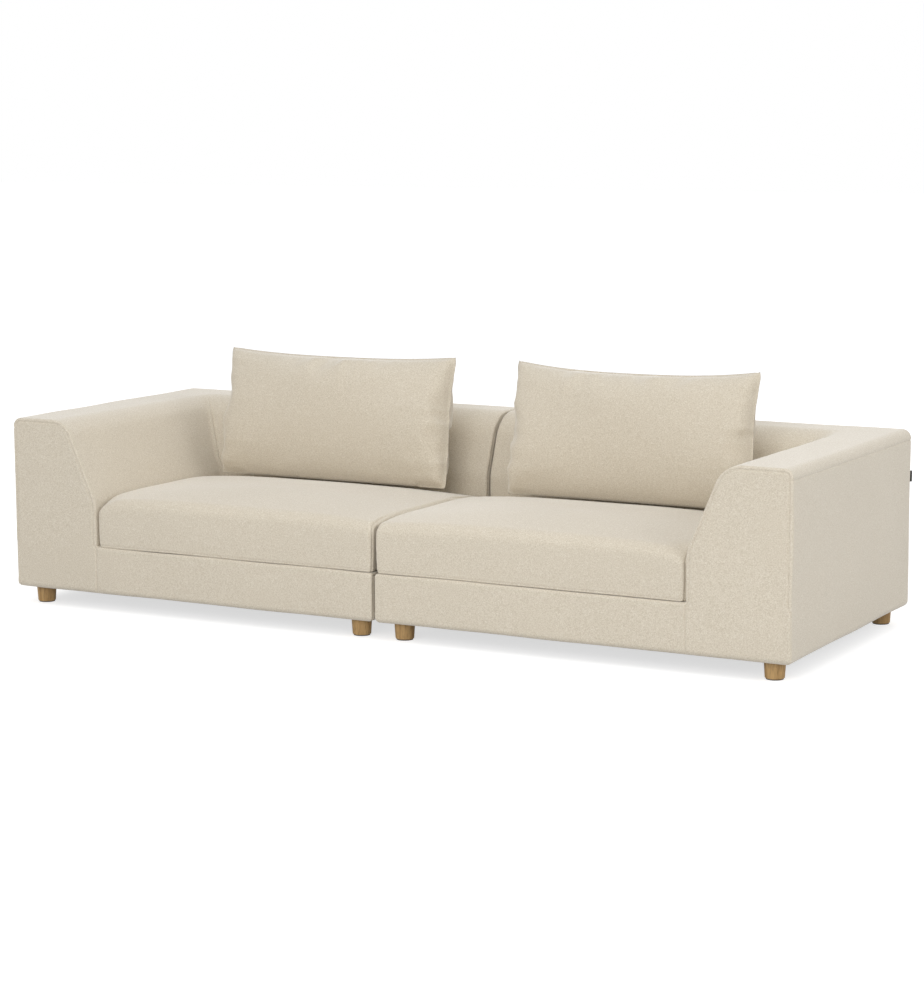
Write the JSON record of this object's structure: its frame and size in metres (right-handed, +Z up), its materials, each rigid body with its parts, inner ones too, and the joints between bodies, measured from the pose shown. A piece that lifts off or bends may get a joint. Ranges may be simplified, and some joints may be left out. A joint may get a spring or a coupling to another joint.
{
  "type": "sofa",
  "caption": "Low upholstered sofa made of mirrored one-arm seats, with loose seat and back cushions and short turned wooden legs.",
  "frame": {"origin": "on the floor under the middle of the sofa", "axes": "+X along the length, +Z up, the front faces -Y"},
  "size_m": [2.74, 1.053, 0.8148],
  "materials": {
    "body_fabric": "heathered plain weave",
    "cushion_fabric": "heathered plain weave",
    "oak": "matt oiled",
    "frame_timber": "sawn",
    "padding": "open-cell foam",
    "grey_felt": "felt",
    "black_cloth": "non-woven",
    "spring_steel": "drawn wire",
    "zinc_steel": "zinc plated",
    "zip_tape": "woven tape",
    "zip_metal": "satin",
    "tab_fabric": "plain woven tab"
  },
  "bodies": {
    "left_module": {"left_base_frame": "frame_timber", "left_corner_blocks": "frame_timber", "left_arm_frame": "frame_timber", "left_back_frame": "frame_timber", "left_seat_springs": "spring_steel", "left_spring_clips": "spring_steel", "left_deck_pad": "grey_felt", "left_base_foam": "padding", "left_arm_foam": "padding", "left_back_foam": "padding", "left_body_cover": "body_fabric", "left_dust_cover": "black_cloth", "left_leg_front_outer": "oak", "left_leg_front_inner": "oak", "left_leg_rear_outer": "oak", "left_leg_rear_inner": "oak", "left_leg_studs": "zinc_steel", "left_leg_t_nuts": "zinc_steel", "left_leg_glides": "grey_felt", "left_connector_screws": "zinc_steel", "connector_blades": "zinc_steel"},
    "left_seat": {"left_seat_cover": "cushion_fabric", "left_seat_foam": "padding", "left_seat_zip": "zip_tape"},
    "left_pillow": {"left_pillow_cover": "cushion_fabric", "left_pillow_fill": "padding", "left_pillow_zip": "zip_tape"},
    "left_seat_slider": {"left_seat_zip_slider": "zip_metal"},
    "left_pillow_slider": {"left_pillow_zip_slider": "zip_metal"},
    "right_module": {"right_base_frame": "frame_timber", "right_corner_blocks": "frame_timber", "right_arm_frame": "frame_timber", "right_back_frame": "frame_timber", "right_seat_springs": "spring_steel", "right_spring_clips": "spring_steel", "right_deck_pad": "grey_felt", "right_base_foam": "padding", "right_arm_foam": "padding", "right_back_foam": "padding", "right_body_cover": "body_fabric", "right_dust_cover": "black_cloth", "right_leg_front_outer": "oak", "right_leg_front_inner": "oak", "right_leg_rear_outer": "oak", "right_leg_rear_inner": "oak", "right_leg_studs": "zinc_steel", "right_leg_t_nuts": "zinc_steel", "right_leg_glides": "grey_felt", "right_connector_screws": "zinc_steel", "connector_jaws": "zinc_steel", "label_tab": "tab_fabric"},
    "right_seat": {"right_seat_cover": "cushion_fabric", "right_seat_foam": "padding", "right_seat_zip": "zip_tape"},
    "right_pillow": {"right_pillow_cover": "cushion_fabric", "right_pillow_fill": "padding", "right_pillow_zip": "zip_tape"},
    "right_seat_slider": {"right_seat_zip_slider": "zip_metal"},
    "right_pillow_slider": {"right_pillow_zip_slider": "zip_metal"}
  },
  "joints": [
    {"name": "modules_apart", "type": "slide", "parent": "left_module", "child": "right_module", "axis": [1, 0, 0], "range_m": [0, 0.3]},
    {"name": "left_seat_lift", "type": "slide", "parent": "left_module", "child": "left_seat", "axis": [0, 0, 1], "range_m": [0, 0.45]},
    {"name": "left_pillow_lift", "type": "slide", "parent": "left_seat", "child": "left_pillow", "axis": [0, 0, 1], "range_m": [0, 0.3]},
    {"name": "left_seat_zip_run", "type": "slide", "parent": "left_seat", "child": "left_seat_slider", "axis": [1, 0, 0], "range_m": [0, 0.86]},
    {"name": "left_pillow_zip_run", "type": "slide", "parent": "left_pillow", "child": "left_pillow_slider", "axis": [1, 0, 0], "range_m": [0, 0.62]},
    {"name": "right_seat_lift", "type": "slide", "parent": "right_module", "child": "right_seat", "axis": [0, 0, 1], "range_m": [0, 0.45]},
    {"name": "right_pillow_lift", "type": "slide", "parent": "right_seat", "child": "right_pillow", "axis": [0, 0, 1], "range_m": [0, 0.3]},
    {"name": "right_seat_zip_run", "type": "slide", "parent": "right_seat", "child": "right_seat_slider", "axis": [-1, 0, 0], "range_m": [0, 0.86]},
    {"name": "right_pillow_zip_run", "type": "slide", "parent": "right_pillow", "child": "right_pillow_slider", "axis": [-1, 0, 0], "range_m": [0, 0.62]}
  ]
}
